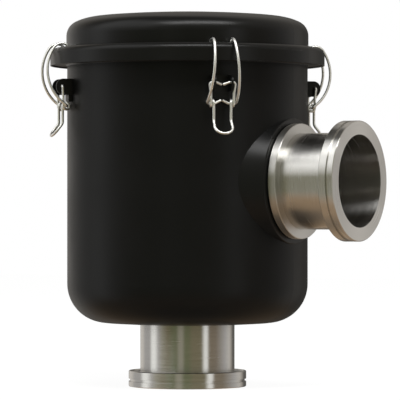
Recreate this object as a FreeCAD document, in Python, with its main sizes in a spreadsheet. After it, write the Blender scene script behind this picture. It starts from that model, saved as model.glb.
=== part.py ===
import FreeCAD, Part
import math
import os
import Sketcher
from FreeCAD import Placement, Rotation, Vector

# Vacuum line filter: a black canister with a pressed lid, held shut by four wire toggle clips,
# with one clamp-flange port below, one on the side, and a pleated element over the lower port.
# Frame: origin at the centre of the lower flange's face, +Z up the canister, +X along the side port.
# Lengths are in millimetres and angles in degrees.

SIZES = {
    # clamp-flange ports
    "flange_diameter": 110,
    "flange_thickness": 14.8,
    "flange_edge": 0.6,
    "flange_groove_start": 4.8,
    "flange_groove_width": 2.6,
    "flange_groove_depth": 1.4,
    "flange_lip": 1.8,
    "flange_recess": 0.9,
    "flange_seat": 3,
    "tube_diameter": 88.2,
    "tube_wall": 1.8,
    "weld_fit": 0.05,
    "bottom_port_length": 57.1,
    "side_port_height": 191.1,
    "side_port_reach": 180.6,
    # canister
    "canister_diameter": 225,
    "canister_wall": 2,
    "canister_depth": 245.6,
    "canister_corner": 36.3,
    "base_crown": 1162.5,
    "rim_fold": 2,
    "rim_fit": 0.5,
    # side port boss, seal and ring
    "boss_stand": 0.7,
    "boss_width": 13.35,
    "boss_taper": 21,
    "boss_edge": 1.5,
    "boss_depth": 32,
    "sleeve_wall": 5.8,
    "sleeve_depth": 19,
    "tube_engagement": 17,
    "seal_thickness": 0.8,
    "seal_width": 6,
    "ring_width": 8.85,
    "ring_thickness": 7.6,
    "ring_edge": 0.6,
    # lid
    "lid_sheet": 1.5,
    "lid_step": 0.75,
    "trough_width": 7.25,
    "trough_depth": 3.2,
    "trough_fillet": 0.8,
    "crest_inner": 2,
    "crest_outer": 5.8,
    "skirt_depth": 16.2,
    "lid_rise": 33.2,
    "crown_radius": 982,
    "shoulder_radius": 49.4,
    "knuckle_radius": 14.4,
    "knuckle_slope": 25.1,
    "gasket_thickness": 8.2,
    "gasket_width": 7.6,
    # clips
    "clip_count": 4,
    "clip_angle": 45,
    "wire_diameter": 2.5,
    "wire_bend": 2,
    "bracket_top": 14.5,
    "bracket_height": 14.6,
    "bracket_width": 17.8,
    "bracket_sheet": 1.7,
    "bracket_reach": 15,
    "bracket_corner": 6.5,
    "web_stand": 3.1,
    "tab_drop": 6.6,
    "pivot_rise": 8,
    "pivot_stand": 9.7,
    "pivot_fit": 0.06,
    "end_gap": 1.4,
    "pivot_tail": 2,
    "pivot_tail_start": 1,
    "lever_shoulder": 12,
    "shoulder_bend": 8,
    "eye_drop": 18.8,
    "eye_stand": 6,
    "eye_play": 0.45,
    "eye_spacing": 1.35,
    "lever_leg": 8,
    "kink_drop": 16,
    "kink_bend": 6,
    "tip_drop": 27.2,
    "tip_stand": 17.8,
    "tip_half_width": 8.7,
    "tip_bend": 7.9,
    "eye_tail": 2.75,
    "eye_tail_start": 1.75,
    "bail_half_width": 13.8,
    "hook_half_width": 10,
    "bail_lead": 6,
    "bail_bow": 38,
    "hook_gap": 1.95,
    "hook_wrap": 115,
    "hook_curl": 2.6,
    "curl_wrap": 165,
    "hook_bend": 1.4,
    "hook_lead": 0.2,
    # element, seat and hold-down
    "tube_stub": 9,
    "seat_diameter": 140,
    "seat_thickness": 2.5,
    "element_diameter": 156,
    "element_height": 216,
    "core_diameter": 104,
    "core_sheet": 1,
    "guard_sheet": 0.8,
    "cap_sheet": 1,
    "cap_rim": 9,
    "element_fit": 0.2,
    "pleat_count": 48,
    "pleat_sheet": 1,
    "slot_width": 16,
    "slot_height": 24,
    "slot_pitch": 32,
    "slot_rows": 6,
    "core_slots": 10,
    "guard_slots": 16,
    "element_seal": 5,
    "element_seal_width": 12,
    "bar_width": 18,
    "bar_thickness": 4,
    "bar_clearance": 1,
    "stud_diameter": 8,
    "stud_fit": 0.05,
    "stud_above": 18,
    "stud_chamfer": 1,
    "nut_width": 13,
    "nut_thickness": 6.5,
    "cap_seal": 2,
    "cap_seal_diameter": 26,
    "washer_thickness": 1.6,
    "washer_diameter": 24,
    "wing_base": 16,
    "wing_neck": 12,
    "wing_boss": 9,
    "wing_span": 36,
    "wing_height": 17,
    "wing_sheet": 3,
    "wing_tip": 4,
    "wing_foot": 1.5,
    "wing_root": 1,
}

doc = FreeCAD.newDocument("vacuum_line_filter")
sheet = doc.addObject("Spreadsheet::Sheet", "sizes")
for row, (alias, number) in enumerate(SIZES.items(), start=1):
    sheet.set(f"A{row}", alias.replace("_", " "))
    sheet.set(f"B{row}", str(number))
    sheet.setAlias(f"B{row}", alias)
doc.recompute()


class Size:
    """A length, share or angle that carries both its value and its expression on the sheet."""

    def __init__(self, value, text):
        self.value = value
        self.text = text

    def __add__(self, other):
        other = as_size(other)
        return Size(self.value + other.value, f"({self.text} + {other.text})")

    def __radd__(self, other):
        return as_size(other) + self

    def __sub__(self, other):
        other = as_size(other)
        return Size(self.value - other.value, f"({self.text} - {other.text})")

    def __rsub__(self, other):
        return as_size(other) - self

    def __mul__(self, other):
        other = as_size(other)
        return Size(self.value * other.value, f"({self.text} * {other.text})")

    def __rmul__(self, other):
        return as_size(other) * self

    def __truediv__(self, other):
        other = as_size(other)
        return Size(self.value / other.value, f"({self.text} / {other.text})")

    def __rtruediv__(self, other):
        return as_size(other) / self

    def __neg__(self):
        return Size(-self.value, f"(0 - {self.text})")


def as_size(number):
    if isinstance(number, Size):
        return number
    return Size(float(number), f"{number}" if number >= 0 else f"(0 - {-number})")


def size(alias):
    return Size(float(sheet.get(alias)), f"sizes.{alias}")


def root(number):
    return Size(math.sqrt(number.value), f"sqrt({number.text})")


def sine(angle):
    return Size(math.sin(math.radians(angle.value)), f"sin({angle.text})")


def cosine(angle):
    return Size(math.cos(math.radians(angle.value)), f"cos({angle.text})")


ZERO = as_size(0)


def left(radius):
    """An arc that turns left on its way to the next corner of an outline."""
    return (1, radius)


def right(radius):
    """An arc that turns right on its way to the next corner of an outline."""
    return (-1, radius)


def new_body(name):
    body = doc.addObject("PartDesign::Body", name)
    body.Label = name
    return body


def new_sketch(body, role, name):
    """A sketch lying on one of the body's own origin planes."""
    plane = [item for item in body.Origin.OriginFeatures if item.Role == role][0]
    sketch = body.newObject("Sketcher::SketchObject", name)
    sketch.AttachmentSupport = [(plane, "")]
    sketch.MapMode = "FlatFace"
    return sketch


def bind(sketch, pairs):
    """Add constraints and tie each one that has a size to the sheet."""
    for constraint, amount in pairs:
        index = sketch.addConstraint(constraint)
        if amount is not None and "sizes." in amount.text:
            sketch.setExpression(f"Constraints[{index}]", amount.text)


def locate(geometry, point, across, up):
    """Constraints that hold one point of a sketch at its two coordinates."""
    pairs = []
    if across is ZERO:
        pairs.append((Sketcher.Constraint("PointOnObject", geometry, point, -2), None))
    else:
        pairs.append((Sketcher.Constraint("DistanceX", -1, 1, geometry, point, across.value), across))
    if up is ZERO:
        pairs.append((Sketcher.Constraint("PointOnObject", geometry, point, -1), None))
    else:
        pairs.append((Sketcher.Constraint("DistanceY", -1, 1, geometry, point, up.value), up))
    return pairs


def arc_between(start, end, side, radius):
    """The arc under half a turn from start to end, turning left (1) or right (-1)."""
    chord = end - start
    across = Vector(-chord.y, chord.x, 0) * (side / chord.Length)
    centre = (start + end) * 0.5 + across * math.sqrt(max(radius ** 2 - chord.Length ** 2 / 4, 0))
    first, last = (start, end) if side > 0 else (end, start)
    begin = math.atan2(first.y - centre.y, first.x - centre.x)
    finish = math.atan2(last.y - centre.y, last.x - centre.x)
    if finish < begin:
        finish += 2 * math.pi
    return Part.ArcOfCircle(Part.Circle(centre, Vector(0, 0, 1), radius), begin, finish)


def outline(sketch, corners):
    """A closed outline; a corner with a third item leads to the next corner along that arc."""
    corners = [(as_size(c[0]) if c[0] is not ZERO else ZERO,
                as_size(c[1]) if c[1] is not ZERO else ZERO) + tuple(c[2:]) for c in corners]
    places = [Vector(corner[0].value, corner[1].value, 0) for corner in corners]
    ends = []
    bends = []
    for index, corner in enumerate(corners):
        start = places[index]
        end = places[(index + 1) % len(corners)]
        if len(corner) == 2:
            geometry = sketch.addGeometry(Part.LineSegment(start, end), False)
            ends.append((geometry, 1, 2))
        else:
            side, radius = corner[2]
            radius = as_size(radius)
            geometry = sketch.addGeometry(arc_between(start, end, side, radius.value), False)
            ends.append((geometry, 1, 2) if side > 0 else (geometry, 2, 1))
            bends.append((Sketcher.Constraint("Radius", geometry, radius.value), radius))
    pairs = []
    for index, (geometry, first, last) in enumerate(ends):
        following = ends[(index + 1) % len(ends)]
        joint = Sketcher.Constraint("Coincident", geometry, last, following[0], following[1])
        pairs.append((joint, None))
        pairs.extend(locate(geometry, first, corners[index][0], corners[index][1]))
    bind(sketch, pairs + bends)


def circle(sketch, across, up, radius):
    centre = Vector(across.value, up.value, 0)
    geometry = sketch.addGeometry(Part.Circle(centre, Vector(0, 0, 1), radius.value), False)
    pairs = locate(geometry, 3, across, up)
    bind(sketch, pairs + [(Sketcher.Constraint("Radius", geometry, radius.value), radius)])


def revolved(body, corners, axis="V_Axis", name="Turned"):
    """Turn an outline drawn beside the axis through a full circle."""
    sketch = new_sketch(body, "XZ_Plane", f"{name}Sketch")
    outline(sketch, corners)
    feature = body.newObject("PartDesign::Revolution", name)
    feature.Profile = sketch
    feature.ReferenceAxis = (sketch, [axis])
    feature.Angle = 360
    return feature


def padded(body, sketch, length, name="Pad", both_ways=False):
    feature = body.newObject("PartDesign::Pad", name)
    feature.Profile = sketch
    feature.setExpression("Length", length.text)
    if both_ways:
        feature.SideType = "Symmetric"
    return feature


def pocketed(body, sketch, length, name="Pocket", both_ways=False, forward=False):
    """Cut a sketch out of the body; the volume has to fall."""
    doc.recompute()
    before = body.Shape.Volume
    feature = body.newObject("PartDesign::Pocket", name)
    feature.Profile = sketch
    feature.setExpression("Length", length.text)
    feature.Reversed = forward
    if both_ways:
        feature.SideType = "Symmetric"
    doc.recompute()
    if body.Shape.Volume > before - 1e-6:
        raise ValueError(f"{body.Label}: {name} cuts nothing")
    return feature


def patterned(body, original, axis, count, name="Pattern"):
    """Repeat a feature evenly round an axis of the sketch it came from."""
    pattern = body.newObject("PartDesign::PolarPattern", name)
    pattern.Originals = [original]
    pattern.Axis = (original.Profile[0], [axis])
    pattern.Angle = 360
    pattern.setExpression("Occurrences", count.text)
    body.Tip = pattern
    return pattern


def lift(item, height):
    item.setExpression("Placement.Base.z", height.text)


def unit(vector):
    return vector * (1 / vector.Length)


def bent_runs(points, bends):
    """Straight runs through the points, with a tangent arc of the given radius at each inner one."""
    edges = []
    here = points[0]
    for corner, following, radius in zip(points[1:-1], points[2:], bends):
        into = unit(corner - here)
        away = unit(following - corner)
        half_turn = into.getAngle(away) / 2
        reach = radius * math.tan(half_turn)
        start = corner - into * reach
        end = corner + away * reach
        middle = corner + unit(away - into) * (radius / math.cos(half_turn) - radius)
        if (start - here).Length > 1e-6:
            edges.append(Part.LineSegment(here, start).toShape())
        edges.append(Part.Arc(start, middle, end).toShape())
        here = end
    if (points[-1] - here).Length > 1e-6:
        edges.append(Part.LineSegment(here, points[-1]).toShape())
    return edges


def mirrored_wire(half, wire_radius):
    """Sweep round wire along half a path and its mirror image across the clip's middle plane."""
    path = Part.Wire(half)
    other = path.mirror(Vector(0, 0, 0), Vector(0, 1, 0))
    whole = Part.Wire(Part.__sortEdges__(path.Edges + other.Edges))
    first = whole.OrderedEdges[0]
    start = first.valueAt(first.FirstParameter)
    direction = first.tangentAt(first.FirstParameter)
    section = Part.Wire(Part.Circle(start, direction, wire_radius).toShape())
    solid = whole.makePipeShell([section], True, False)
    expected = math.pi * wire_radius ** 2 * whole.Length
    if abs(solid.Volume - expected) > 0.01 * expected:
        raise ValueError(f"wire sweep: {solid.Volume:.1f} instead of {expected:.1f}")
    return solid


# heights and radii that several pieces share
tube_radius = size("tube_diameter") / 2
bore_radius = tube_radius - size("tube_wall")
welded_radius = tube_radius + size("weld_fit")
canister_radius = size("canister_diameter") / 2
rim_top = size("bottom_port_length") + size("canister_depth")
rim_under = rim_top - size("canister_wall")
trough_floor = rim_top + size("gasket_thickness") + size("lid_sheet")
crest_top = trough_floor + size("trough_depth")
lid_wall = canister_radius + size("lid_step")
trough_outer = lid_wall + size("trough_width")
crest_place = trough_outer + size("crest_inner")
skirt_radius = crest_place + size("crest_outer")
crest_centre = crest_top - size("crest_outer")
boss_face = canister_radius + size("boss_stand")
sleeve_radius = welded_radius + size("sleeve_wall")


def make_canister():
    """Drawn shell: crowned base, round lower corner, straight wall and a turned-out rim."""
    body = new_body("canister")
    wall = size("canister_wall")
    corner = size("canister_corner")
    crown = size("base_crown")
    fold = size("rim_fold")
    crown_centre = size("bottom_port_length") + crown
    corner_place = canister_radius - corner
    rise = root((crown - corner) * (crown - corner) - corner_place * corner_place)
    corner_centre = crown_centre - rise
    share = crown / (crown - corner)
    inner_share = (crown - wall) / (crown - corner)
    rim_radius = skirt_radius - size("lid_sheet") - size("rim_fit")
    hole = welded_radius
    inner_crown = crown - wall
    revolved(body, [
        (hole, crown_centre - root(crown * crown - hole * hole), left(crown)),
        (corner_place * share, crown_centre - rise * share, left(corner)),
        (canister_radius, corner_centre),
        (canister_radius, rim_under - fold, right(fold)),
        (canister_radius + fold, rim_under),
        (rim_radius, rim_under),
        (rim_radius, rim_top),
        (canister_radius + fold, rim_top, left(fold + wall)),
        (canister_radius - wall, rim_under - fold),
        (canister_radius - wall, corner_centre, right(corner - wall)),
        (corner_place * inner_share, crown_centre - rise * inner_share, right(inner_crown)),
        (hole, crown_centre - root(inner_crown * inner_crown - hole * hole)),
    ])
    sketch = new_sketch(body, "YZ_Plane", "PortHoleSketch")
    circle(sketch, ZERO, size("side_port_height"), sleeve_radius + size("weld_fit"))
    pocketed(body, sketch, size("canister_diameter"), "PortHole", forward=True)
    return body


def dome_corners(inset):
    """Radii and ends of the lid's crown, shoulder and knuckle, on its surface or inset from it."""
    crown = size("crown_radius")
    shoulder = size("shoulder_radius")
    knuckle = size("knuckle_radius")
    out_2 = sine(size("knuckle_slope"))
    up_2 = cosine(size("knuckle_slope"))
    out_1 = (lid_wall - knuckle * (1 - out_2) - shoulder * out_2) / (crown - shoulder)
    up_1 = root(1 - out_1 * out_1)
    crown_up = crest_top + size("lid_rise") - crown
    shoulder_out = (crown - shoulder) * out_1
    shoulder_up = crown_up + (crown - shoulder) * up_1
    knuckle_out = lid_wall - knuckle
    knuckle_up = shoulder_up + (shoulder - knuckle) * up_2
    return {
        "radii": (crown - inset, shoulder - inset, knuckle - inset),
        "top": (ZERO, crown_up + crown - inset),
        "crown_end": (shoulder_out + (shoulder - inset) * out_1, shoulder_up + (shoulder - inset) * up_1),
        "shoulder_end": (knuckle_out + (knuckle - inset) * out_2, knuckle_up + (knuckle - inset) * up_2),
        "wall_top": (lid_wall - inset, knuckle_up),
    }


def make_lid():
    """Pressed lid: domed top, straight wall, trough for the clips' hooks and a turned-down skirt."""
    body = new_body("lid")
    sheet_metal = size("lid_sheet")
    fillet = size("trough_fillet")
    inner_crest = size("crest_inner")
    outer_crest = size("crest_outer")
    outside = dome_corners(ZERO)
    inside = dome_corners(sheet_metal)
    skirt_edge = crest_top - size("skirt_depth")
    bend = trough_floor + fillet
    revolved(body, [
        outside["top"] + (right(outside["radii"][0]),),
        outside["crown_end"] + (right(outside["radii"][1]),),
        outside["shoulder_end"] + (right(outside["radii"][2]),),
        outside["wall_top"],
        (lid_wall, bend, left(fillet)),
        (lid_wall + fillet, trough_floor),
        (trough_outer - fillet, trough_floor, left(fillet)),
        (trough_outer, bend),
        (trough_outer, crest_top - inner_crest, right(inner_crest)),
        (crest_place, crest_top, right(outer_crest)),
        (skirt_radius, crest_centre),
        (skirt_radius, skirt_edge),
        (skirt_radius - sheet_metal, skirt_edge),
        (skirt_radius - sheet_metal, crest_centre, left(outer_crest - sheet_metal)),
        (crest_place, crest_top - sheet_metal, left(inner_crest - sheet_metal)),
        (trough_outer + sheet_metal, crest_top - inner_crest),
        (trough_outer + sheet_metal, bend, right(fillet + sheet_metal)),
        (trough_outer - fillet, trough_floor - sheet_metal),
        (lid_wall + fillet, trough_floor - sheet_metal, right(fillet + sheet_metal)),
        (lid_wall - sheet_metal, bend),
        inside["wall_top"] + (left(inside["radii"][2]),),
        inside["shoulder_end"] + (left(inside["radii"][1]),),
        inside["crown_end"] + (left(inside["radii"][0]),),
        inside["top"],
    ])
    return body


def ring_corners(inner, outer, low, high):
    """A plain ring's section, from its radii and its two ends."""
    return [(inner, low), (outer, low), (outer, high), (inner, high)]


def make_lid_gasket():
    """Square-section rubber ring between the canister's rim and the underside of the trough."""
    body = new_body("lid_gasket")
    middle = lid_wall + size("trough_width") / 2
    half = size("gasket_width") / 2
    revolved(body, ring_corners(middle - half, middle + half, rim_top, trough_floor - size("lid_sheet")))
    return body


def make_flange(name):
    """Clamp flange with a claw groove in its rim and a raised lip on its back, face at the bottom."""
    body = new_body(name)
    radius = size("flange_diameter") / 2
    edge = size("flange_edge")
    back = size("flange_thickness")
    near = size("flange_groove_start")
    far = near + size("flange_groove_width")
    groove = radius - size("flange_groove_depth")
    lip = radius - size("flange_lip")
    recess = back - size("flange_recess")
    revolved(body, [
        (bore_radius, ZERO),
        (radius - edge, ZERO),
        (radius, edge),
        (radius, near),
        (groove, near),
        (groove, far),
        (radius, far),
        (radius, back - edge),
        (radius - edge, back),
        (lip, back),
        (lip, recess),
        (welded_radius, recess),
        (welded_radius, size("flange_seat")),
        (bore_radius, size("flange_seat")),
    ])
    return body


def make_bottom_port():
    """Outlet: flange with the tube that is welded into it and runs up through the canister's base."""
    make_flange("bottom_port_flange")
    body = new_body("bottom_port_tube")
    top = size("bottom_port_length") + size("tube_stub")
    revolved(body, ring_corners(bore_radius, tube_radius, size("flange_seat"), top))


def along_port(corners):
    """Turn a list of (radius, distance along the port) corners into sketch corners on the X axis."""
    return [(corner[1], corner[0]) for corner in corners]


def make_side_port():
    """Inlet: flared boss on the canister, seal, ring, tube and flange, all round one level axis."""
    height = size("side_port_height")
    edge = size("boss_edge")
    taper = size("boss_taper")
    boss_radius = welded_radius + size("boss_width")
    tangent = edge * cosine(taper) / (1 + sine(taper))
    back = boss_face - size("boss_depth")
    back_radius = boss_radius + size("boss_depth") * sine(taper) / cosine(taper)
    boss = new_body("side_port_boss")
    revolved(boss, [
        (back, welded_radius),
        (boss_face, welded_radius),
        (boss_face, boss_radius - tangent, left(edge)),
        (boss_face - tangent * cosine(taper), boss_radius + tangent * sine(taper)),
        (back, back_radius),
    ], "H_Axis", "Flare")
    saddle = new_sketch(boss, "XY_Plane", "SaddleSketch")
    circle(saddle, ZERO, ZERO, canister_radius)
    pocketed(boss, saddle, size("canister_diameter"), "Saddle", both_ways=True)
    inner_end = boss_face - size("sleeve_depth")
    sleeve = ring_corners(welded_radius, sleeve_radius, inner_end, boss_face)
    revolved(boss, along_port(sleeve), "H_Axis", "Sleeve")
    lift(boss, height)

    seal_end = boss_face + size("seal_thickness")
    seal = new_body("side_port_seal")
    seal_outer = welded_radius + size("seal_width")
    revolved(seal, along_port(ring_corners(welded_radius, seal_outer, boss_face, seal_end)), "H_Axis")
    lift(seal, height)

    ring = new_body("side_port_ring")
    ring_radius = welded_radius + size("ring_width")
    ring_edge = size("ring_edge")
    ring_end = seal_end + size("ring_thickness")
    revolved(ring, [
        (seal_end, welded_radius),
        (seal_end, ring_radius - ring_edge),
        (seal_end + ring_edge, ring_radius),
        (ring_end - ring_edge, ring_radius),
        (ring_end, ring_radius - ring_edge),
        (ring_end, welded_radius),
    ], "H_Axis")
    lift(ring, height)

    tube = new_body("side_port_tube")
    tube_start = boss_face - size("tube_engagement")
    tube_end = size("side_port_reach") - size("flange_seat")
    revolved(tube, along_port(ring_corners(bore_radius, tube_radius, tube_start, tube_end)), "H_Axis")
    lift(tube, height)

    flange = make_flange("side_port_flange")
    flange.Placement = Placement(Vector(0, 0, 0), Rotation(Vector(0, 1, 0), -90))
    flange.setExpression("Placement.Base.x", size("side_port_reach").text)
    lift(flange, height)


# the clips, in a local frame: X out from the canister's axis, Y along its wall, Z up
bracket_top = rim_under - size("bracket_top")
bracket_bottom = bracket_top - size("bracket_height")
pivot_out = canister_radius + size("pivot_stand")
pivot_up = bracket_bottom + size("pivot_rise")
eye_out = canister_radius + size("eye_stand")
eye_up = pivot_up - size("eye_drop")
wire_radius = size("wire_diameter") / 2


def clip_angle(number):
    return size("clip_angle") + 360 * number / size("clip_count")


def make_bracket(number):
    """Folded channel welded to the wall: two round-cornered ears, a web and a tab below it."""
    body = new_body(f"latch_bracket_{number + 1}")
    inside = canister_radius - size("canister_wall")
    web = canister_radius + size("web_stand")
    reach = canister_radius + size("bracket_reach")
    corner = size("bracket_corner")
    gap = size("bracket_width") - 2 * size("bracket_sheet")
    side = new_sketch(body, "XZ_Plane", "EarSketch")
    outline(side, [
        (inside, bracket_bottom),
        (reach - corner, bracket_bottom, left(corner)),
        (reach, bracket_bottom + corner),
        (reach, bracket_top - corner, left(corner)),
        (reach - corner, bracket_top),
        (inside, bracket_top),
    ])
    padded(body, side, size("bracket_width"), "Ears", both_ways=True)
    between = new_sketch(body, "XZ_Plane", "GapSketch")
    clear = size("bracket_sheet")
    outline(between, [
        (web, bracket_bottom - clear),
        (reach + clear, bracket_bottom - clear),
        (reach + clear, bracket_top + clear),
        (web, bracket_top + clear),
    ])
    pocketed(body, between, gap, "Gap", both_ways=True)
    low = new_sketch(body, "XZ_Plane", "TabSketch")
    tab_bottom = bracket_bottom - size("tab_drop")
    outline(low, ring_corners(inside, web, tab_bottom, bracket_bottom))
    padded(body, low, gap, "Tab", both_ways=True)
    hole = new_sketch(body, "XZ_Plane", "PivotSketch")
    circle(hole, pivot_out, pivot_up, wire_radius + size("pivot_fit"))
    pocketed(body, hole, 2 * size("bracket_width"), "Pivot", both_ways=True)
    back = new_sketch(body, "XY_Plane", "BackSketch")
    circle(back, ZERO, ZERO, canister_radius)
    pocketed(body, back, 2 * bracket_top, "Back", both_ways=True)
    body.setExpression("Placement.Rotation.Angle", clip_angle(number).text)
    return body


def lever_solid():
    """One wire: pivot ends, shoulders, two legs with an eye each, and a finger loop kicked outwards."""
    pivot = Vector(pivot_out.value, 0, pivot_up.value)
    eye = Vector(eye_out.value, 0, eye_up.value)
    radius = wire_radius.value
    loop = 2 * radius + size("eye_play").value
    leg = size("lever_leg").value
    pitch = size("eye_spacing").value
    upper_leg = leg + 2 * pitch
    bend = size("wire_bend").value
    ear = size("bracket_width").value / 2 - size("bracket_sheet").value
    outside = eye.x + loop
    into = [
        Vector(pivot.x - radius, size("end_gap").value / 2, pivot.z - size("pivot_tail").value),
        Vector(pivot.x, ear - size("pivot_tail_start").value, pivot.z),
        Vector(pivot.x, size("lever_shoulder").value, pivot.z),
        Vector(outside, upper_leg, (pivot.z + eye.z) / 2),
        Vector(outside, upper_leg, eye.z),
    ]
    half = bent_runs(into, [bend, bend, size("shoulder_bend").value])
    rise = math.hypot(loop, pitch / 2)
    turns = [
        (upper_leg, outside, -rise, eye.x - loop),
        (upper_leg - pitch, eye.x - loop, rise, outside),
    ]
    for across, start, height, finish in turns:
        begin = Vector(start, across, eye.z)
        middle = Vector(eye.x, across - pitch / 2, eye.z + height)
        half.append(Part.Arc(begin, middle, Vector(finish, across - pitch, eye.z)).toShape())
    kink = eye.z - size("kink_drop").value
    tip = Vector(canister_radius.value + size("tip_stand").value, size("tip_half_width").value,
                 eye.z - size("tip_drop").value)
    below = [
        Vector(outside, leg, eye.z),
        Vector(outside, leg, kink),
        tip,
        Vector(tip.x, 0, tip.z),
    ]
    half.extend(bent_runs(below, [size("kink_bend").value, size("tip_bend").value]))
    return mirrored_wire(half, radius)


def bail_solid():
    """One wire: ends in the lever's eyes, two bowed arms, hooks over the lid's crest and a cross bar."""
    radius = wire_radius.value
    bend = size("wire_bend").value
    curl = size("hook_curl").value
    bow = size("bail_bow").value
    eye = Vector(eye_out.value, 0, eye_up.value)
    spread = size("bail_half_width").value
    crest = crest_centre.value - eye.z
    tilt = math.atan2(spread - size("hook_half_width").value, crest)
    slope = crest / math.cos(tilt)
    hook = size("crest_outer").value + radius + size("hook_gap").value

    def on_arm(out, up):
        """A point of the arm's leaning plane, out from the axis and up the slope from the eye."""
        return Vector(out, spread - up * math.sin(tilt), eye.z + up * math.cos(tilt))

    def on_circle(centre, reach, angle):
        return on_arm(centre[0] + reach * math.cos(angle), centre[1] + reach * math.sin(angle))

    # the bow's circle touches the hook's from outside and leaves a straight lead at the eye
    hook_place = (crest_place.value, slope)
    rise = math.atan2(slope, hook_place[0] - eye.x)
    away = math.hypot(bow, size("bail_lead").value)
    span = math.hypot(slope, hook_place[0] - eye.x)
    along = (away ** 2 - (bow - hook) ** 2 + span ** 2) / (2 * span)
    turn = rise + math.acos(along / away)
    bow_place = (eye.x + away * math.cos(turn), away * math.sin(turn))
    leave = turn - math.pi + math.acos(bow / away)
    meet = math.atan2(slope - bow_place[1], hook_place[0] - bow_place[0])
    wrap = math.radians(size("hook_wrap").value)
    arm_start = on_circle(bow_place, bow, leave)
    arm_middle = on_circle(bow_place, bow, (leave + meet) / 2)
    arm_end = on_circle(bow_place, bow, meet)
    hook_middle = on_circle(hook_place, hook, (meet + wrap) / 2)
    hook_end = on_circle(hook_place, hook, wrap)
    curl_place = (hook_place[0] + (hook - curl) * math.cos(wrap), slope + (hook - curl) * math.sin(wrap))
    last = math.radians(size("curl_wrap").value)
    curl_middle = on_circle(curl_place, curl, (wrap + last) / 2)
    curl_end = on_circle(curl_place, curl, last)
    drop = on_arm(-math.sin(last), math.cos(last)) - on_arm(0, 0)
    bar = curl_end + drop * (size("hook_bend").value + size("hook_lead").value)
    into = [
        Vector(eye.x, size("end_gap").value / 2, eye.z + size("eye_tail").value),
        Vector(eye.x, size("lever_leg").value - size("eye_tail_start").value, eye.z),
        Vector(eye.x, spread, eye.z),
        arm_start,
    ]
    half = bent_runs(into, [bend, bend])
    half.append(Part.Arc(arm_start, arm_middle, arm_end).toShape())
    half.append(Part.Arc(arm_end, hook_middle, hook_end).toShape())
    half.append(Part.Arc(hook_end, curl_middle, curl_end).toShape())
    half.extend(bent_runs([curl_end, bar, Vector(bar.x, 0, bar.z)], [size("hook_bend").value]))
    return mirrored_wire(half, radius)


def place_wire(name, solid, number):
    feature = doc.addObject("Part::Feature", name)
    feature.Label = name
    feature.Shape = solid
    feature.setExpression("Placement.Rotation.Angle", clip_angle(number).text)


def make_clips():
    lever = lever_solid()
    bail = bail_solid()
    for number in range(int(size("clip_count").value)):
        make_bracket(number)
        place_wire(f"latch_lever_{number + 1}", lever.copy(), number)
        place_wire(f"latch_bail_{number + 1}", bail.copy(), number)


# heights and radii inside the canister
seat_top = size("bottom_port_length") + size("tube_stub")
cap_bottom = seat_top + size("element_seal")
media_bottom = cap_bottom + size("cap_sheet")
media_top = media_bottom + size("element_height")
cap_top = media_top + size("cap_sheet")
core_outer = size("core_diameter") / 2
core_inner = core_outer - size("core_sheet")
guard_outer = size("element_diameter") / 2
guard_inner = guard_outer - size("guard_sheet")
stud_radius = size("stud_diameter") / 2
stud_hole = stud_radius + size("stud_fit")
cap_seal_top = cap_top + size("cap_seal")
washer_top = cap_seal_top + size("washer_thickness")
bar_top = seat_top + size("bar_thickness")


def make_seat():
    """Flat ring welded round the top of the outlet tube, which the element's seal presses on."""
    body = new_body("element_seat")
    outer = size("seat_diameter") / 2
    revolved(body, ring_corners(welded_radius, outer, seat_top - size("seat_thickness"), seat_top))


def make_hold_down():
    """Bar across the outlet tube's end, the stud it carries and the nut that locks the stud."""
    bar = new_body("hold_down_bar")
    half = size("bar_width") / 2
    reach_radius = core_inner - size("bar_clearance")
    reach = root(reach_radius * reach_radius - half * half)
    sketch = new_sketch(bar, "XY_Plane", "BarSketch")
    outline(sketch, [
        (-reach, -half),
        (reach, -half, left(reach_radius)),
        (reach, half),
        (-reach, half, left(reach_radius)),
    ])
    circle(sketch, ZERO, ZERO, stud_hole)
    padded(bar, sketch, size("bar_thickness"), "Bar")
    lift(bar, seat_top)

    stud = new_body("hold_down_stud")
    high = washer_top + size("stud_above")
    tip = size("stud_chamfer")
    revolved(stud, [
        (ZERO, seat_top),
        (stud_radius - tip, seat_top),
        (stud_radius, seat_top + tip),
        (stud_radius, high - tip),
        (stud_radius - tip, high),
        (ZERO, high),
    ])

    nut = new_body("stud_nut")
    flats = new_sketch(nut, "XY_Plane", "NutSketch")
    corner = size("nut_width") / root(as_size(3))
    outline(flats, [
        (corner, ZERO),
        (corner / 2, size("nut_width") / 2),
        (-corner / 2, size("nut_width") / 2),
        (-corner, ZERO),
        (-corner / 2, -size("nut_width") / 2),
        (corner / 2, -size("nut_width") / 2),
    ])
    circle(flats, ZERO, ZERO, stud_hole)
    padded(nut, flats, size("nut_thickness"), "Nut")
    lift(nut, bar_top)


def make_element_seal():
    """Soft ring under the element's lower cap."""
    body = new_body("element_seal")
    outer = core_inner + size("element_seal_width")
    revolved(body, ring_corners(core_inner, outer, seat_top, cap_bottom))


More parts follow.
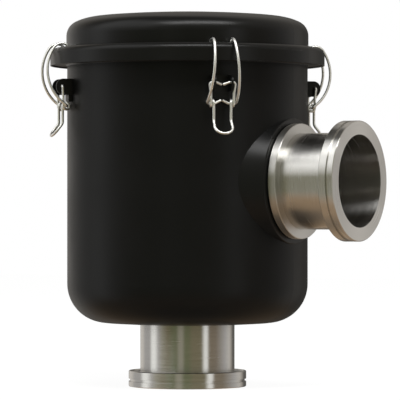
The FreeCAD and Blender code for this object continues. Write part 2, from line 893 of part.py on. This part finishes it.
def make_caps():
    """Two pressed caps: open in the middle below, closed round the stud above."""
    sheet_metal = size("cap_sheet")
    rim = size("cap_rim")
    fit = size("element_fit")
    outer = guard_outer + fit + sheet_metal
    inner = core_inner - fit - sheet_metal
    lower = new_body("element_lower_cap")
    revolved(lower, [
        (inner, cap_bottom),
        (outer, cap_bottom),
        (outer, media_bottom + rim),
        (outer - sheet_metal, media_bottom + rim),
        (outer - sheet_metal, media_bottom),
        (inner + sheet_metal, media_bottom),
        (inner + sheet_metal, media_bottom + rim),
        (inner, media_bottom + rim),
    ])
    upper = new_body("element_upper_cap")
    revolved(upper, [
        (stud_hole, cap_top),
        (stud_hole, media_top),
        (inner, media_top),
        (inner, media_top - rim),
        (inner + sheet_metal, media_top - rim),
        (inner + sheet_metal, media_top),
        (outer - sheet_metal, media_top),
        (outer - sheet_metal, media_top - rim),
        (outer, media_top - rim),
        (outer, cap_top),
    ])


def make_slotted_tube(name, inner, outer, columns):
    """Rolled sheet tube with rows of open slots all round."""
    body = new_body(name)
    revolved(body, ring_corners(inner, outer, media_bottom, media_top))
    sketch = new_sketch(body, "XZ_Plane", "SlotSketch")
    half = size("slot_width") / 2
    rows = size("slot_rows")
    first = (media_bottom + media_top) / 2 - (rows - 1) * size("slot_pitch") / 2
    for row in range(int(rows.value)):
        middle = first + row * size("slot_pitch")
        low = middle - size("slot_height") / 2
        high = middle + size("slot_height") / 2
        outline(sketch, [(-half, low), (half, low), (half, high), (-half, high)])
    slots = pocketed(body, sketch, outer + size("slot_width"), "Slots")
    patterned(body, slots, "V_Axis", columns)


def make_media():
    """Pleated sheet: a zigzag of constant thickness between the core and the guard."""
    count = int(size("pleat_count").value)
    low = core_outer.value + size("element_fit").value
    high = guard_inner.value - size("element_fit").value
    lean = math.atan2(math.pi * (low + high) / 2 / count, high - low)
    step = size("pleat_sheet").value / math.sin(lean)

    def zigzag(valley, peak):
        places = []
        for index in range(2 * count):
            angle = math.pi * index / count
            reach = peak if index % 2 else valley
            places.append(Vector(reach * math.cos(angle), reach * math.sin(angle), media_bottom.value))
        return Part.makePolygon(places + places[:1])

    face = Part.makeFace([zigzag(low + step, high), zigzag(low, high - step)], "Part::FaceMakerBullseye")
    feature = doc.addObject("Part::Feature", "pleated_media")
    feature.Label = "pleated_media"
    feature.Shape = face.extrude(Vector(0, 0, size("element_height").value))


def make_fastening():
    """Soft washer, flat washer and wing nut that hold the element down on its seat."""
    seal = new_body("cap_seal")
    revolved(seal, ring_corners(stud_hole, size("cap_seal_diameter") / 2, cap_top, cap_seal_top))
    washer = new_body("hold_down_washer")
    revolved(washer, ring_corners(stud_hole, size("washer_diameter") / 2, cap_seal_top, washer_top))
    nut = new_body("wing_nut")
    base = size("wing_base") / 2
    neck = size("wing_neck") / 2
    high = size("wing_boss")
    revolved(nut, [(stud_hole, ZERO), (base, ZERO), (neck, high), (stud_hole, high)], name="Boss")
    wing = new_sketch(nut, "XZ_Plane", "WingSketch")
    span = size("wing_span") / 2
    top = size("wing_height")
    tip = size("wing_tip")
    foot = size("wing_foot")
    root_place = neck - size("wing_root")
    outline(wing, [
        (root_place, foot),
        (base, foot),
        (span, top - tip, left(tip)),
        (span - tip, top),
        (span - 2 * tip, top - tip),
        (root_place, high - foot),
    ])
    blade = padded(nut, wing, size("wing_sheet"), "Wing", both_ways=True)
    patterned(nut, blade, "V_Axis", as_size(2), "Wings")
    lift(nut, washer_top)


make_canister()
make_lid()
make_lid_gasket()
make_bottom_port()
make_side_port()
make_clips()
make_seat()
make_hold_down()
make_element_seal()
make_caps()
make_slotted_tube("element_core", core_inner, core_outer, size("core_slots"))
make_slotted_tube("element_guard", guard_inner, guard_outer, size("guard_slots"))
make_media()
make_fastening()
doc.recompute()

for item in doc.Objects:
    if "Invalid" in item.State or "Error" in item.State:
        raise ValueError(f"{item.Label} has failed: {item.State}")

pieces = [item for item in doc.Objects
          if item.TypeId in ("PartDesign::Body", "Part::Feature") and not item.Label.startswith("Origin")]
os.makedirs("parts", exist_ok=True)
for piece in pieces:
    shape = piece.Shape
    if shape.isNull() or not shape.isValid() or len(shape.Solids) != 1:
        raise ValueError(f"{piece.Label} is not one valid solid")
    shape.exportStep(f"parts/{piece.Label}.step")
    print(f"{piece.Label}: {shape.Volume:.0f} mm3")
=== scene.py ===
import math

import bmesh
import bpy
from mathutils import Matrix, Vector


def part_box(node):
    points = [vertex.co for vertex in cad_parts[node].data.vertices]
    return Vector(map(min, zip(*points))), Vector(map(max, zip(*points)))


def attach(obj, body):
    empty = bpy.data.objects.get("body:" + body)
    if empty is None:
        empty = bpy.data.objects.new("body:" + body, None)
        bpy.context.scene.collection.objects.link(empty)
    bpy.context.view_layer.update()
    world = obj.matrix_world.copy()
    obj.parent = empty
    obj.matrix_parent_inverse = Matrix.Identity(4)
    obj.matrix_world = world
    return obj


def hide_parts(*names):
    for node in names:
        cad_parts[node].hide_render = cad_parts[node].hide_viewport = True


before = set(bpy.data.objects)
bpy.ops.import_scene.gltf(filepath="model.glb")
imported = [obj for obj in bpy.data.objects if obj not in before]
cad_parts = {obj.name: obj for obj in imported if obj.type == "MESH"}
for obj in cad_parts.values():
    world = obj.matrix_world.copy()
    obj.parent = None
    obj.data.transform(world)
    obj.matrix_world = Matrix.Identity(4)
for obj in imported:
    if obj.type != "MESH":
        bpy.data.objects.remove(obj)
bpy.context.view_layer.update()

# Camera: the filter stands upright and is seen level from well back, with the side port pointing
# to the right and towards the viewer.
VIEW_TURN = math.radians(30)
VIEW_DISTANCE = 2.9
VIEW_HEIGHT = 0.1673
camera_data = bpy.data.cameras.new("camera")
camera_data.lens = 278.8
camera_data.sensor_width = 36
camera_data.shift_x = 0.0314
camera_data.shift_y = 0.0183
camera = bpy.data.objects.new("camera", camera_data)
camera.location = (VIEW_DISTANCE * math.sin(VIEW_TURN), -VIEW_DISTANCE * math.cos(VIEW_TURN),
                   VIEW_HEIGHT)
camera.rotation_euler = (math.radians(90), 0, VIEW_TURN)
bpy.context.scene.collection.objects.link(camera)
bpy.context.scene.camera = camera
bpy.context.scene.view_settings.view_transform = "Standard"


# Room: plain white to the camera and even on matt surfaces. Polished metal mirrors a quiet workshop,
# with tall windows between stretches of plaster, hedge and timber, and a brown ground below.
def add_node(tree, kind, **values):
    """Add one node and set its properties, or its unlinked inputs, by name."""
    node = tree.nodes.new(kind)
    for name, value in values.items():
        if hasattr(node, name):
            setattr(node, name, value)
        else:
            node.inputs[name.replace("_", " ")].default_value = value
    return node


def math_node(tree, operation, *terms):
    """Add one Math node whose terms are plain numbers or other nodes' outputs."""
    node = add_node(tree, "ShaderNodeMath", operation=operation)
    for index, term in enumerate(terms):
        if isinstance(term, (int, float)):
            node.inputs[index].default_value = term
        else:
            tree.links.new(term, node.inputs[index])
    return node.outputs[0]


def ramp_node(tree, factor, stops):
    """Add one Color Ramp with a list of (place, colour) stops."""
    node = tree.nodes.new("ShaderNodeValToRGB")
    ramp = node.color_ramp
    while len(ramp.elements) < len(stops):
        ramp.elements.new(0.5)
    for element, (place, colour) in zip(ramp.elements, stops):
        element.position = place
        element.color = (*colour, 1)
    tree.links.new(factor, node.inputs[0])
    return node.outputs[0]


def fade_node(tree, value, start, end):
    """Add one Map Range that rises from 0 at start to 1 at end and stays between them."""
    node = add_node(tree, "ShaderNodeMapRange", From_Min=start, From_Max=end)
    tree.links.new(value, node.inputs["Value"])
    return node.outputs[0]


def mixed_colour(tree, factor, first, second):
    """Add one colour Mix; first and second are outputs or plain colours."""
    node = add_node(tree, "ShaderNodeMix", data_type="RGBA")
    tree.links.new(factor, node.inputs[0])
    for index, colour in ((6, first), (7, second)):
        if isinstance(colour, tuple):
            node.inputs[index].default_value = (*colour, 1)
        else:
            tree.links.new(colour, node.inputs[index])
    return node.outputs[2]


def ring_of_tones(tree, turn, stops):
    """Add one Color Ramp round the compass, from stops of (bearing in degrees from +X, tone)."""
    return ramp_node(tree, turn, [((bearing + 180) / 360, tone) for bearing, tone in stops])


WINDOW = (1.15, 1.16, 1.14)
SKYLIGHT = (1.45, 1.45, 1.43)
PLASTER = (0.50, 0.49, 0.48)
SHADE = (0.36, 0.35, 0.28)
HEDGE = (0.16, 0.18, 0.10)
TIMBER = (0.21, 0.19, 0.12)
CLAY = (0.25, 0.21, 0.16)
GLOOM = (0.13, 0.125, 0.115)
WASH = (0.45, 0.42, 0.38)
BEHIND = (0.68, 0.65, 0.61)
GROUND = (0.40, 0.29, 0.19)
UNDERFOOT = (0.19, 0.155, 0.12)
WALLS = [
    (-180, PLASTER), (-166, PLASTER), (-157, WINDOW), (-147, WINDOW), (-136, PLASTER), (-125, SHADE),
    (-110, TIMBER), (-95, HEDGE), (-88, HEDGE), (-80, SHADE), (-73, SHADE), (-66, HEDGE), (-57, HEDGE),
    (-48, TIMBER), (-25, TIMBER), (-17, WINDOW), (-11, WINDOW), (-5, CLAY), (14, CLAY), (45, PLASTER),
    (64, BEHIND), (74, WASH), (86, GLOOM), (120, GLOOM), (140, BEHIND), (160, BEHIND), (172, PLASTER),
    (180, PLASTER),
]
MIDDLE = [
    (-180, GLOOM), (-172, GLOOM), (-162, SKYLIGHT), (-98, SKYLIGHT), (-88, SHADE), (0, SHADE), (20, WASH),
    (148, WASH), (163, CLAY), (173, GLOOM), (180, GLOOM),
]
UPPER = [
    (-180, GLOOM), (-174, GLOOM), (-166, SKYLIGHT), (-98, SKYLIGHT), (-88, SHADE), (0, SHADE), (20, WASH),
    (70, WASH), (90, BEHIND), (125, BEHIND), (140, GLOOM), (180, GLOOM),
]
# Where one ring gives way to the next, as the sine of the height above or the depth below level.
MIDDLE_STARTS = (0.15, 0.55)
UPPER_STARTS = (0.68, 0.80)
ROOF_STARTS = (0.86, 0.95)
GROUND_STARTS = (0.35, 0.60)
UNDERFOOT_STARTS = (0.86, 0.93)
EVEN_LIGHT = 0.28
world = bpy.data.worlds.new("workshop")
bpy.context.scene.world = world
world.use_nodes = True
room = world.node_tree
room.nodes.clear()
compass = room.nodes.new("ShaderNodeSeparateXYZ")
room.links.new(add_node(room, "ShaderNodeTexCoord").outputs["Generated"], compass.inputs[0])
east, north, up = compass.outputs
turn = math_node(room, "MULTIPLY_ADD", math_node(room, "ARCTAN2", north, east), 0.5 / math.pi, 0.5)
down = math_node(room, "MULTIPLY", up, -1)
sides = mixed_colour(room, fade_node(room, up, *MIDDLE_STARTS), ring_of_tones(room, turn, WALLS),
                     ring_of_tones(room, turn, MIDDLE))
sides = mixed_colour(room, fade_node(room, up, *UPPER_STARTS), sides, ring_of_tones(room, turn, UPPER))
roofed = mixed_colour(room, fade_node(room, up, *ROOF_STARTS), sides, GLOOM)
paving = mixed_colour(room, fade_node(room, down, *UNDERFOOT_STARTS), GROUND, UNDERFOOT)
workshop = mixed_colour(room, fade_node(room, down, *GROUND_STARTS), roofed, paving)
mirrored = add_node(room, "ShaderNodeBackground", Strength=1.0)
room.links.new(workshop, mirrored.inputs["Color"])
even = add_node(room, "ShaderNodeBackground", Color=(1, 1, 1, 1), Strength=EVEN_LIGHT)
white = add_node(room, "ShaderNodeBackground", Color=(1, 1, 1, 1), Strength=1.0)
ray = room.nodes.new("ShaderNodeLightPath").outputs
shiny = room.nodes.new("ShaderNodeMixShader")
room.links.new(ray["Is Glossy Ray"], shiny.inputs[0])
room.links.new(even.outputs[0], shiny.inputs[1])
room.links.new(mirrored.outputs[0], shiny.inputs[2])
seen = room.nodes.new("ShaderNodeMixShader")
straight = math_node(room, "MAXIMUM", ray["Is Camera Ray"], ray["Is Transmission Ray"])
room.links.new(straight, seen.inputs[0])
room.links.new(shiny.outputs[0], seen.inputs[1])
room.links.new(white.outputs[0], seen.inputs[2])
room.links.new(seen.outputs[0], room.nodes.new("ShaderNodeOutputWorld").inputs[0])

# Lamp: one wide soft box above and behind the camera, which lights the lid, its rolled rim and the
# wires from in front.
LAMP_BEARING = math.radians(-47)
LAMP_RISE = math.radians(56)
LAMP_AWAY = 2.0
LAMP_SIZE = (1.9, 0.6)
LAMP_AIM = (0, 0, 0.3)
LAMP_BRIGHTNESS = 8.0
lamp_data = bpy.data.lights.new("soft_box", "AREA")
lamp_data.shape = "RECTANGLE"
lamp_data.size, lamp_data.size_y = LAMP_SIZE
lamp_data.energy = LAMP_BRIGHTNESS * math.pi * LAMP_SIZE[0] * LAMP_SIZE[1]
lamp = bpy.data.objects.new("soft_box", lamp_data)
level = math.cos(LAMP_RISE)
outwards = Vector((level * math.cos(LAMP_BEARING), level * math.sin(LAMP_BEARING), math.sin(LAMP_RISE)))
lamp.location = Vector(LAMP_AIM) + LAMP_AWAY * outwards
lamp.rotation_euler = outwards.to_track_quat("Z", "Y").to_euler()
bpy.context.scene.collection.objects.link(lamp)

# Floor: one wide pale sheet that the lower flange stands on. To the camera it glows almost white, with
# enough of its own paint left for the filter's faint shadow.
FLOOR_HALF = 4.0
FLOOR_GLOW = 1.18
FLOOR_PLAINNESS = 0.8
floor_mesh = bmesh.new()
bmesh.ops.create_grid(floor_mesh, x_segments=1, y_segments=1, size=FLOOR_HALF)
floor_data = bpy.data.meshes.new("floor")
floor_mesh.to_mesh(floor_data)
floor_mesh.free()
floor = bpy.data.objects.new("floor", floor_data)
bpy.context.scene.collection.objects.link(floor)
floor.visible_glossy = False
floor_paint = bpy.data.materials.new("floor_paint")
floor_paint.use_nodes = True
tree = floor_paint.node_tree
tree.nodes.clear()
matt = add_node(tree, "ShaderNodeBsdfDiffuse", Color=(0.86, 0.86, 0.85, 1))
plain = add_node(tree, "ShaderNodeEmission", Color=(1, 1, 1, 1), Strength=FLOOR_GLOW)
shown = tree.nodes.new("ShaderNodeMixShader")
to_camera = tree.nodes.new("ShaderNodeLightPath").outputs["Is Camera Ray"]
tree.links.new(math_node(tree, "MULTIPLY", to_camera, FLOOR_PLAINNESS), shown.inputs[0])
tree.links.new(matt.outputs[0], shown.inputs[1])
tree.links.new(plain.outputs[0], shown.inputs[2])
tree.links.new(shown.outputs[0], tree.nodes.new("ShaderNodeOutputMaterial").inputs[0])
floor_data.materials.append(floor_paint)


# Canister: one deep-drawn steel shell with a rounded lower corner and a turned-out rim, powder
# coated satin black. The coat has a fine orange peel and a slightly uneven sheen.
def new_material(name, **values):
    """Add one material with a Principled shader, whose plain values sit on its own sockets."""
    material = bpy.data.materials.new(name)
    material.use_nodes = True
    shader = material.node_tree.nodes["Principled BSDF"]
    for key, value in values.items():
        shader.inputs[key.replace("_", " ")].default_value = value
    return material


def new_group(name, inputs, outputs):
    """Add one shader node group with named input and output sockets."""
    group = bpy.data.node_groups.new(name, "ShaderNodeTree")
    for socket, kind, start in inputs:
        item = group.interface.new_socket(name=socket, in_out="INPUT", socket_type=kind)
        if start is not None:
            item.default_value = start
    for socket, kind in outputs:
        group.interface.new_socket(name=socket, in_out="OUTPUT", socket_type=kind)
    return group, group.nodes.new("NodeGroupInput").outputs, group.nodes.new("NodeGroupOutput").inputs


def placed(material, group, **values):
    """Put a node group into a material with its own values."""
    node = add_node(material.node_tree, "ShaderNodeGroup", node_tree=group)
    for key, value in values.items():
        node.inputs[key.replace("_", " ")].default_value = value
    return node


def finished(material, node):
    """Join a finish's colour, roughness and normal to the material's own shader."""
    shader = material.node_tree.nodes["Principled BSDF"]
    for output, socket in (("Color", "Base Color"), ("Roughness", "Roughness"), ("Normal", "Normal")):
        material.node_tree.links.new(node.outputs[output], shader.inputs[socket])


def dress(nodes, material):
    """Give CAD nodes one material in place of the plain one that they came with."""
    for name in nodes:
        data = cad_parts[name].data
        data.materials.clear()
        data.materials.append(material)


def on_object(tree, *textures):
    """Lay textures over the piece by its Object coordinates."""
    where = add_node(tree, "ShaderNodeTexCoord").outputs["Object"]
    for texture in textures:
        tree.links.new(where, texture.inputs["Vector"])


def scaled_by(tree, factor, low, high):
    """Add one Map Range from the middle of a noise to the span between two outputs."""
    node = add_node(tree, "ShaderNodeMapRange", From_Min=0.3, From_Max=0.7)
    for output, socket in ((factor, "Value"), (low, "To Min"), (high, "To Max")):
        tree.links.new(output, node.inputs[socket])
    return node.outputs[0]


FINISH = [("Color", "NodeSocketColor"), ("Roughness", "NodeSocketFloat"), ("Normal", "NodeSocketVector")]
coat_group, given, out = new_group(
    "powder_coat",
    [("Sheen Low", "NodeSocketFloat", 0.3), ("Sheen High", "NodeSocketFloat", 0.4),
     ("Peel", "NodeSocketFloat", 0.1), ("Dark", "NodeSocketColor", (0.005, 0.005, 0.0047, 1)),
     ("Pale", "NodeSocketColor", (0.0085, 0.0085, 0.008, 1))], FINISH)
cloud = add_node(coat_group, "ShaderNodeTexNoise", Scale=22, Detail=3)
peel = add_node(coat_group, "ShaderNodeTexNoise", Scale=900, Detail=2)
on_object(coat_group, cloud, peel)
coat_group.links.new(scaled_by(coat_group, cloud.outputs[0], given["Sheen Low"], given["Sheen High"]),
                     out["Roughness"])
coat_group.links.new(mixed_colour(coat_group, peel.outputs[0], given["Dark"], given["Pale"]),
                     out["Color"])
bump = add_node(coat_group, "ShaderNodeBump", Distance=0.0001)
coat_group.links.new(given["Peel"], bump.inputs["Strength"])
coat_group.links.new(peel.outputs[0], bump.inputs["Height"])
coat_group.links.new(bump.outputs[0], out["Normal"])
canister_coat = new_material("canister_coat", Specular_IOR_Level=0.17)
finished(canister_coat, placed(canister_coat, coat_group, Sheen_Low=0.33, Sheen_High=0.40))
dress(["canister"], canister_coat)

# Lid: a shallow pressed dome whose rim is turned down over a seal. It is coated as the canister is, a
# little smoother on its crown and crest, where the coat flows out.
lid_coat = new_material("lid_coat", Specular_IOR_Level=0.22)
finished(lid_coat, placed(lid_coat, coat_group, Sheen_Low=0.27, Sheen_High=0.33, Peel=0.03))
dress(["lid"], lid_coat)

# Boss and clip brackets: a cone of thick tube and four small pressed channels, welded to the canister
# and coated with it. The coat is smoother on them than on the canister's wide wall.
fitting_coat = new_material("fitting_coat", Specular_IOR_Level=0.22)
finished(fitting_coat, placed(fitting_coat, coat_group, Sheen_Low=0.26, Sheen_High=0.33, Peel=0.1))
dress(["side_port_boss"] + [f"latch_bracket_{n}" for n in (1, 2, 3, 4)], fitting_coat)

# Lower port: tube and clamp flange of turned stainless steel, welded together and left with their
# fine turning marks, which run round the port's own axis.
marks_group, given, out = new_group(
    "turning_marks",
    [("Vector", "NodeSocketVector", None), ("Pitch", "NodeSocketFloat", 700),
     ("Depth", "NodeSocketFloat", 0.3), ("Sheen Low", "NodeSocketFloat", 0.19),
     ("Sheen High", "NodeSocketFloat", 0.28), ("Dark", "NodeSocketColor", (0.54, 0.53, 0.505, 1)),
     ("Pale", "NodeSocketColor", (0.71, 0.70, 0.68, 1))], FINISH)
MARK_DRIFT = 0.0012
parts = marks_group.nodes.new("ShaderNodeSeparateXYZ")
marks_group.links.new(given["Vector"], parts.inputs[0])
across, along, axial = parts.outputs
squares = math_node(marks_group, "MULTIPLY_ADD", along, along,
                    math_node(marks_group, "MULTIPLY", across, across))
round_axis = math_node(marks_group, "ARCTAN2", along, across)
unrolled = marks_group.nodes.new("ShaderNodeCombineXYZ")
marks_group.links.new(math_node(marks_group, "SQRT", squares), unrolled.inputs[0])
marks_group.links.new(math_node(marks_group, "MULTIPLY", round_axis, MARK_DRIFT), unrolled.inputs[1])
marks_group.links.new(axial, unrolled.inputs[2])
marks = add_node(marks_group, "ShaderNodeTexNoise", Detail=4, Roughness=0.65)
marks_group.links.new(unrolled.outputs[0], marks.inputs["Vector"])
marks_group.links.new(given["Pitch"], marks.inputs["Scale"])
marks_group.links.new(scaled_by(marks_group, marks.outputs[0], given["Sheen Low"], given["Sheen High"]),
                      out["Roughness"])
marks_group.links.new(mixed_colour(marks_group, marks.outputs[0], given["Dark"], given["Pale"]),
                      out["Color"])
bump = add_node(marks_group, "ShaderNodeBump", Distance=0.00004)
marks_group.links.new(given["Depth"], bump.inputs["Strength"])
marks_group.links.new(marks.outputs[0], bump.inputs["Height"])
marks_group.links.new(bump.outputs[0], out["Normal"])


def turned_steel(name, axis, height=0.0, **values):
    """Add one stainless steel, turned round a line along Z or along X at a height."""
    material = new_material(name, Metallic=1.0, Anisotropic=0.95, Anisotropic_Rotation=0.25)
    tree = material.node_tree
    place = tree.nodes.new("ShaderNodeSeparateXYZ")
    on_object(tree, place)
    x, y, z = place.outputs
    local = tree.nodes.new("ShaderNodeCombineXYZ")
    order = (x, y, z) if axis == "Z" else (y, math_node(tree, "SUBTRACT", z, height), x)
    for socket, source in zip(local.inputs, order):
        tree.links.new(source, socket)
    node = placed(material, marks_group, **values)
    tree.links.new(local.outputs[0], node.inputs["Vector"])
    finished(material, node)
    grain = add_node(tree, "ShaderNodeTangent", direction_type="RADIAL", axis=axis)
    tree.links.new(grain.outputs[0], tree.nodes["Principled BSDF"].inputs["Tangent"])
    return material


lower_steel = turned_steel("lower_port_steel", "Z")
dress(["bottom_port_tube", "bottom_port_flange"], lower_steel)

# Side port: the same tube and flange on the canister's side, with a loose ring of turned steel that
# holds its seal against the boss.
PORT_HEIGHT = 0.1911
side_steel = turned_steel("side_port_steel", "X", PORT_HEIGHT)
dress(["side_port_tube", "side_port_flange"], side_steel)
ring_steel = turned_steel("side_ring_steel", "X", PORT_HEIGHT, Sheen_Low=0.3, Sheen_High=0.4)
dress(["side_port_ring"], ring_steel)

# Clips: four levers and four bails, bent cold from hard-drawn stainless spring wire. The wire is bright,
# with the faint lengthwise lines that the die leaves.
def surfaced(material, colour, dulled_by, sheen, raised_by, depth, strength):
    """Give a material its colour, a roughness between two limits and a bump, each from a texture."""
    tree = material.node_tree
    shader = tree.nodes["Principled BSDF"]
    spread = add_node(tree, "ShaderNodeMapRange", To_Min=sheen[0], To_Max=sheen[1])
    bump = add_node(tree, "ShaderNodeBump", Distance=depth, Strength=strength)
    tree.links.new(colour, shader.inputs["Base Color"])
    tree.links.new(dulled_by, spread.inputs["Value"])
    tree.links.new(spread.outputs[0], shader.inputs["Roughness"])
    tree.links.new(raised_by, bump.inputs["Height"])
    tree.links.new(bump.outputs[0], shader.inputs["Normal"])


clip_wire = new_material("clip_wire", Metallic=1.0)
tree = clip_wire.node_tree
stretch = add_node(tree, "ShaderNodeMapping", Scale=(2200, 2200, 120))
on_object(tree, stretch)
lines = add_node(tree, "ShaderNodeTexNoise", Scale=1, Detail=3)
tree.links.new(stretch.outputs[0], lines.inputs["Vector"])
bright = mixed_colour(tree, lines.outputs[0], (0.90, 0.90, 0.88), (0.98, 0.98, 0.96))
surfaced(clip_wire, bright, dulled_by=lines.outputs[0], sheen=(0.33, 0.50),
         raised_by=lines.outputs[0], depth=0.00005, strength=0.3)
dress([f"latch_{kind}_{n}" for kind in ("lever", "bail") for n in (1, 2, 3, 4)], clip_wire)

# Seals: moulded black nitrile rubber, matt, with a fine mould texture and a trace of grey bloom.
# They lie in the lid's rim, behind the side port's ring and at both ends of the element.
rubber = new_material("nitrile_rubber", Specular_IOR_Level=0.4)
tree = rubber.node_tree
bloom = add_node(tree, "ShaderNodeTexNoise", Scale=60, Detail=4)
grain = add_node(tree, "ShaderNodeTexNoise", Scale=2500, Detail=2)
on_object(tree, bloom, grain)
greyed = mixed_colour(tree, fade_node(tree, bloom.outputs[0], 0.45, 0.8), (0.012, 0.012, 0.012),
                      (0.035, 0.035, 0.034))
surfaced(rubber, greyed, dulled_by=bloom.outputs[0], sheen=(0.38, 0.6),
         raised_by=grain.outputs[0], depth=0.00008, strength=0.25)
dress(["lid_gasket", "side_port_seal", "element_seal", "cap_seal"], rubber)

# Pleated media: one sheet of off-white polyester felt, folded into pleats and glued between the
# caps. The fibres lie flat and show as fine short flecks.
felt = new_material("polyester_felt", Specular_IOR_Level=0.15)
tree = felt.node_tree
fibre = add_node(tree, "ShaderNodeTexNoise", Scale=1800, Detail=5, Distortion=1.5)
patchy = add_node(tree, "ShaderNodeTexNoise", Scale=45, Detail=3)
on_object(tree, fibre, patchy)
ground = mixed_colour(tree, patchy.outputs[0], (0.74, 0.71, 0.64), (0.82, 0.80, 0.74))
flecked = mixed_colour(tree, fade_node(tree, fibre.outputs[0], 0.55, 0.75), ground, (0.60, 0.57, 0.50))
surfaced(felt, flecked, dulled_by=fibre.outputs[0], sheen=(0.85, 1.0),
         raised_by=fibre.outputs[0], depth=0.0003, strength=0.5)
dress(["pleated_media"], felt)

# Caps, core and guard: pressed and punched tin plate, rolled to tube and seamed. The tin shows soft
# spangle and light rolling scratches.
tin = new_material("tin_sheet", Metallic=1.0)
tree = tin.node_tree
spangle = add_node(tree, "ShaderNodeTexVoronoi", Scale=170)
stretch = add_node(tree, "ShaderNodeMapping", Scale=(90, 90, 2600))
on_object(tree, spangle, stretch)
scratch = add_node(tree, "ShaderNodeTexNoise", Scale=1, Detail=4)
tree.links.new(stretch.outputs[0], scratch.inputs["Vector"])
flake = tree.nodes.new("ShaderNodeSeparateColor")
tree.links.new(spangle.outputs["Color"], flake.inputs[0])
flaked = mixed_colour(tree, flake.outputs[0], (0.60, 0.61, 0.61), (0.74, 0.75, 0.75))
worn = math_node(tree, "MULTIPLY_ADD", flake.outputs[1], 0.5,
                 math_node(tree, "MULTIPLY", scratch.outputs[0], 0.5))
surfaced(tin, flaked, dulled_by=worn, sheen=(0.26, 0.42),
         raised_by=scratch.outputs[0], depth=0.00004, strength=0.3)
dress(["element_lower_cap", "element_upper_cap", "element_core", "element_guard"], tin)

# Seat, bar, nuts and washer: stainless steel, turned or punched, with the marks round the stud's
# axis, a little duller than the ports.
hardware_steel = turned_steel("hardware_steel", "Z", Pitch=1100, Depth=0.2, Sheen_Low=0.26,
                              Sheen_High=0.36)
dress(["element_seat", "hold_down_bar", "stud_nut", "hold_down_washer", "wing_nut"], hardware_steel)

# Stud: M8 stainless rod on the outlet tube's bar, with rolled threads at its foot and at its top,
# where the wing nut runs.
STUD_RADIUS = 0.004
STUD_STEPS = 32
THREAD_ROOT = 0.0034
THREAD_PITCH = 0.00125
THREAD_STEPS = 20
TOOTH_SUNK = 0.0001
TOOTH_CREST = (0.45 * THREAD_PITCH, 0.55 * THREAD_PITCH)
FOOT_TURNS = 14
TOP_TURNS = 30
RUN_OUT = 0.0005
SAME_POINT = 1e-6
stud_low, stud_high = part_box("hold_down_stud")
foot = stud_low[2]
top = stud_high[2]
foot_end = foot + (FOOT_TURNS + 1) * THREAD_PITCH
top_start = top - (TOP_TURNS + 1) * THREAD_PITCH
stud_mesh = bmesh.new()
rod = [(0, foot), (THREAD_ROOT, foot), (THREAD_ROOT, foot_end), (STUD_RADIUS, foot_end + RUN_OUT),
       (STUD_RADIUS, top_start - RUN_OUT), (THREAD_ROOT, top_start), (THREAD_ROOT, top), (0, top)]
points = [stud_mesh.verts.new((radius, 0, height)) for radius, height in rod]
edges = [stud_mesh.edges.new(pair) for pair in zip(points, points[1:])]
bmesh.ops.spin(stud_mesh, geom=points + edges, cent=(0, 0, 0), axis=(0, 0, 1), angle=2 * math.pi,
               steps=STUD_STEPS, use_merge=True)
bmesh.ops.remove_doubles(stud_mesh, verts=stud_mesh.verts, dist=SAME_POINT)
section = [(THREAD_ROOT - TOOTH_SUNK, 0), (STUD_RADIUS, TOOTH_CREST[0]), (STUD_RADIUS, TOOTH_CREST[1]),
           (THREAD_ROOT - TOOTH_SUNK, THREAD_PITCH)]
for start, turns in ((foot, FOOT_TURNS), (top - TOP_TURNS * THREAD_PITCH, TOP_TURNS)):
    tooth = [stud_mesh.verts.new((radius, 0, start + height)) for radius, height in section]
    face = stud_mesh.faces.new(tooth)
    bmesh.ops.spin(stud_mesh, geom=tooth + list(face.edges) + [face], cent=(0, 0, 0), axis=(0, 0, 1),
                   angle=2 * math.pi * (turns - 1), steps=(turns - 1) * THREAD_STEPS,
                   dvec=(0, 0, THREAD_PITCH / THREAD_STEPS))
bmesh.ops.recalc_face_normals(stud_mesh, faces=stud_mesh.faces)
stud_data = bpy.data.meshes.new("threaded_stud")
stud_mesh.to_mesh(stud_data)
stud_mesh.free()
stud = bpy.data.objects.new("threaded_stud", stud_data)
bpy.context.scene.collection.objects.link(stud)
stud_data.materials.append(hardware_steel)
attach(stud, "housing")
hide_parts("hold_down_stud")
